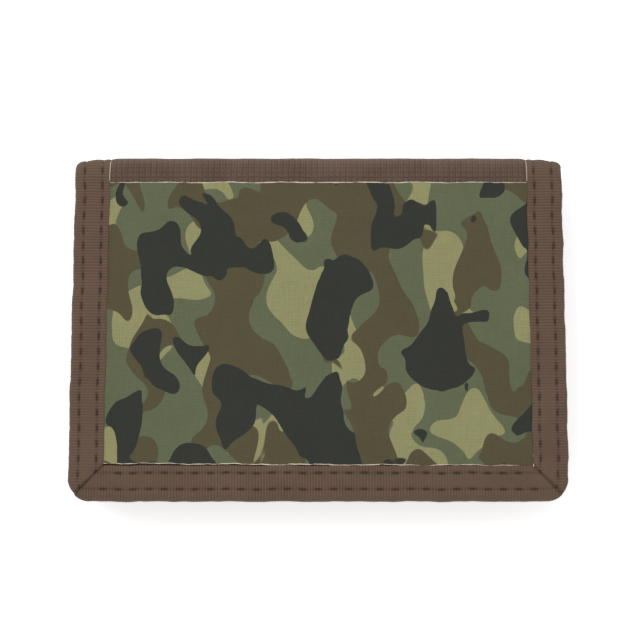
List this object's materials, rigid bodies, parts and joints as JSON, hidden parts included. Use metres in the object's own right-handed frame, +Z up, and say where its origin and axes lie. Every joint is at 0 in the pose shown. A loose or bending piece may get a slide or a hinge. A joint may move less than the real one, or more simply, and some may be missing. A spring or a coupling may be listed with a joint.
{
  "type": "trifold wallet",
  "caption": "Closed roll-fold nylon wallet with printed cloth front, bound edges, hook-and-loop closure, card slots, zip coin pocket and clear window.",
  "frame": {"origin": "bottom centre of the closed wallet's box, on the surface it lies on", "axes": "+X along the folds, +Y to the top fold, +Z up through the thickness to the printed front"},
  "size_m": [0.1206, 0.084, 0.019],
  "materials": {
    "binding_tape": "ribbed grosgrain, matt",
    "shell_nylon": "coarse oxford weave",
    "printed_cloth": "plain weave cloth with a four-colour blotch print",
    "pocket_nylon": "fine nylon weave",
    "lining_nylon": "thin lining cloth",
    "foam": "thin felt sheet",
    "hook_and_loop": "hook and loop tape",
    "clear_vinyl": "clear flexible vinyl",
    "zipper_cloth": "fine knitted zip tape",
    "zipper_coil": "nylon coil",
    "zipper_metal": "satin nickel plating"
  },
  "bodies": {
    "back_panel": {"back_shell": "shell_nylon", "back_stiffener": "foam", "back_lining": "lining_nylon", "back_binding_left": "binding_tape", "back_binding_right": "binding_tape", "coin_pocket_panel": "pocket_nylon", "coin_pocket_strip": "pocket_nylon", "zipper_tape_lower": "zipper_cloth", "zipper_tape_upper": "zipper_cloth", "zipper_coil_lower": "zipper_coil", "zipper_coil_upper": "zipper_coil", "zipper_stop_start": "zipper_metal", "zipper_stop_end": "zipper_metal"},
    "zip_slider": {"zipper_slider": "zipper_metal"},
    "zip_pull": {"zipper_pull": "zipper_metal"},
    "top_spine": {"top_spine_shell": "shell_nylon", "top_spine_lining": "lining_nylon", "top_spine_binding_left": "binding_tape", "top_spine_binding_right": "binding_tape"},
    "front_flap": {"front_shell": "shell_nylon", "printed_panel": "printed_cloth", "front_padding": "foam", "front_lining": "lining_nylon", "card_slot_1": "pocket_nylon", "card_slot_2": "pocket_nylon", "card_slot_3": "pocket_nylon", "hook_patch": "hook_and_loop", "front_binding_left": "binding_tape", "front_binding_right": "binding_tape", "front_binding_bottom": "binding_tape"},
    "bottom_spine": {"bottom_spine_shell": "shell_nylon", "bottom_spine_lining": "lining_nylon", "bottom_spine_binding_left": "binding_tape", "bottom_spine_binding_right": "binding_tape"},
    "inner_flap": {"inner_shell": "shell_nylon", "inner_lining": "lining_nylon", "loop_patch": "hook_and_loop", "id_window": "clear_vinyl", "id_window_frame": "pocket_nylon", "inner_binding_left": "binding_tape", "inner_binding_right": "binding_tape", "inner_binding_tip": "binding_tape"}
  },
  "joints": [
    {"name": "front_flap_fold", "type": "hinge", "parent": "top_spine", "child": "front_flap", "pos_m": [0, 0.042, 0.019], "axis": [-1, 0, 0], "range_deg": [0, 90]},
    {"name": "top_spine_fold", "type": "hinge", "parent": "back_panel", "child": "top_spine", "pos_m": [0, 0.042, 0], "axis": [-1, 0, 0], "range_deg": [0, 90]},
    {"name": "bottom_spine_fold", "type": "hinge", "parent": "back_panel", "child": "bottom_spine", "pos_m": [0, -0.038, 0], "axis": [1, 0, 0], "range_deg": [0, 90]},
    {"name": "inner_flap_fold", "type": "hinge", "parent": "bottom_spine", "child": "inner_flap", "pos_m": [0, -0.038, 0.0124], "axis": [1, 0, 0], "range_deg": [0, 90]},
    {"name": "zipper_slide", "type": "slide", "parent": "back_panel", "child": "zip_slider", "axis": [-1, 0, 0], "range_m": [0, 0.077]},
    {"name": "zipper_pull_flip", "type": "hinge", "parent": "zip_slider", "child": "zip_pull", "pos_m": [0.0385, 0.033, 0.0089], "axis": [0, 1, 0], "range_deg": [0, 180]}
  ],
  "couplings": [
    {"joint": "top_spine_fold", "follows": "front_flap_fold", "ratio": 1},
    {"joint": "bottom_spine_fold", "follows": "front_flap_fold", "ratio": 1},
    {"joint": "inner_flap_fold", "follows": "front_flap_fold", "ratio": 1}
  ]
}
